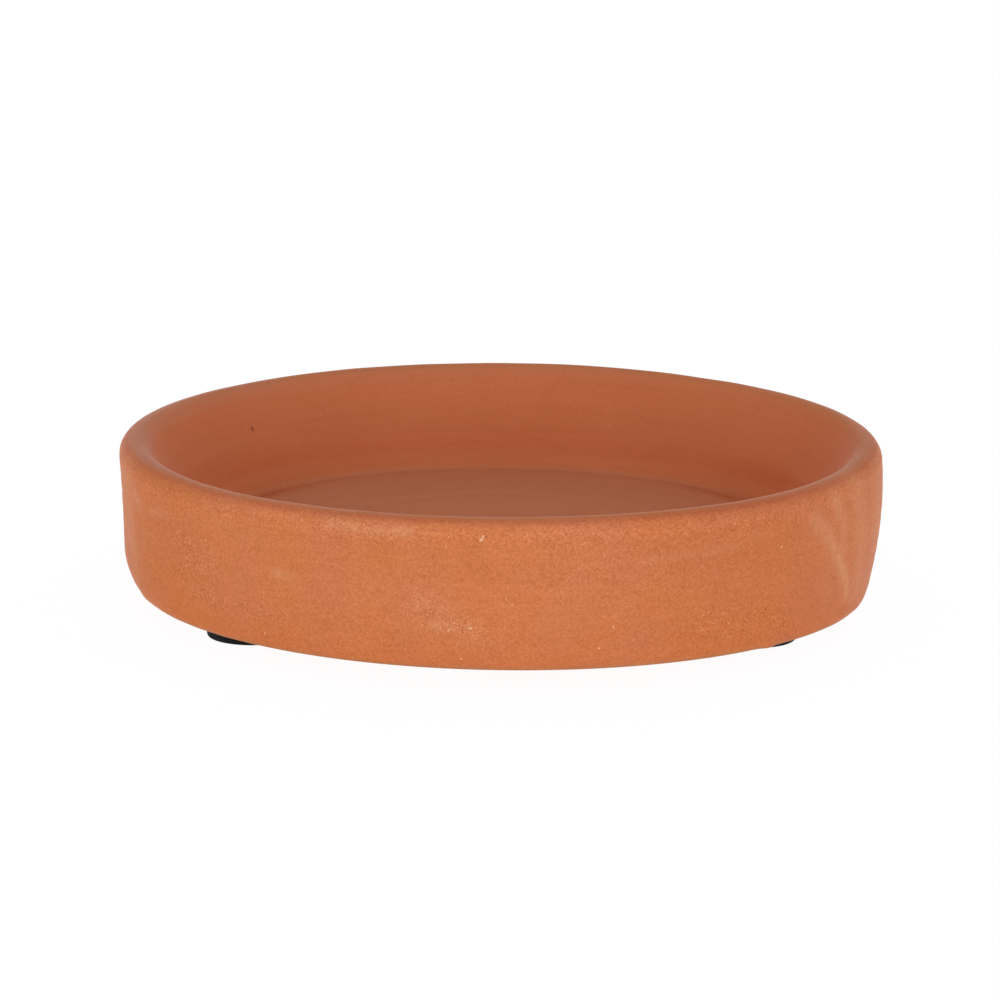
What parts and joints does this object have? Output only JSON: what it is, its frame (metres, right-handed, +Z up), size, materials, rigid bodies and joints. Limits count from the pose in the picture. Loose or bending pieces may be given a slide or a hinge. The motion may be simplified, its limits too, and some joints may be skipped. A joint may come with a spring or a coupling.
{
  "type": "plant saucer",
  "caption": "Shallow round terracotta plant saucer with a rounded lip, a leaning inner wall round a flat floor, and stick-on foot pads underneath.",
  "frame": {"origin": "on the saucer's axis, level with the surface that the foot pads stand on", "axes": "+Z up through the middle of the saucer, -Y towards the viewer of the picture, +X to the viewer's right"},
  "size_m": [0.16, 0.16, 0.0362],
  "materials": {
    "terracotta": "matte",
    "pad_rubber": "matte",
    "adhesive": "satin"
  },
  "bodies": {
    "root": {"saucer": "terracotta", "foot_pad_back": "pad_rubber", "foot_pad_left": "pad_rubber", "foot_pad_right": "pad_rubber", "pad_adhesive_back": "adhesive", "pad_adhesive_left": "adhesive", "pad_adhesive_right": "adhesive"}
  },
  "joints": []
}
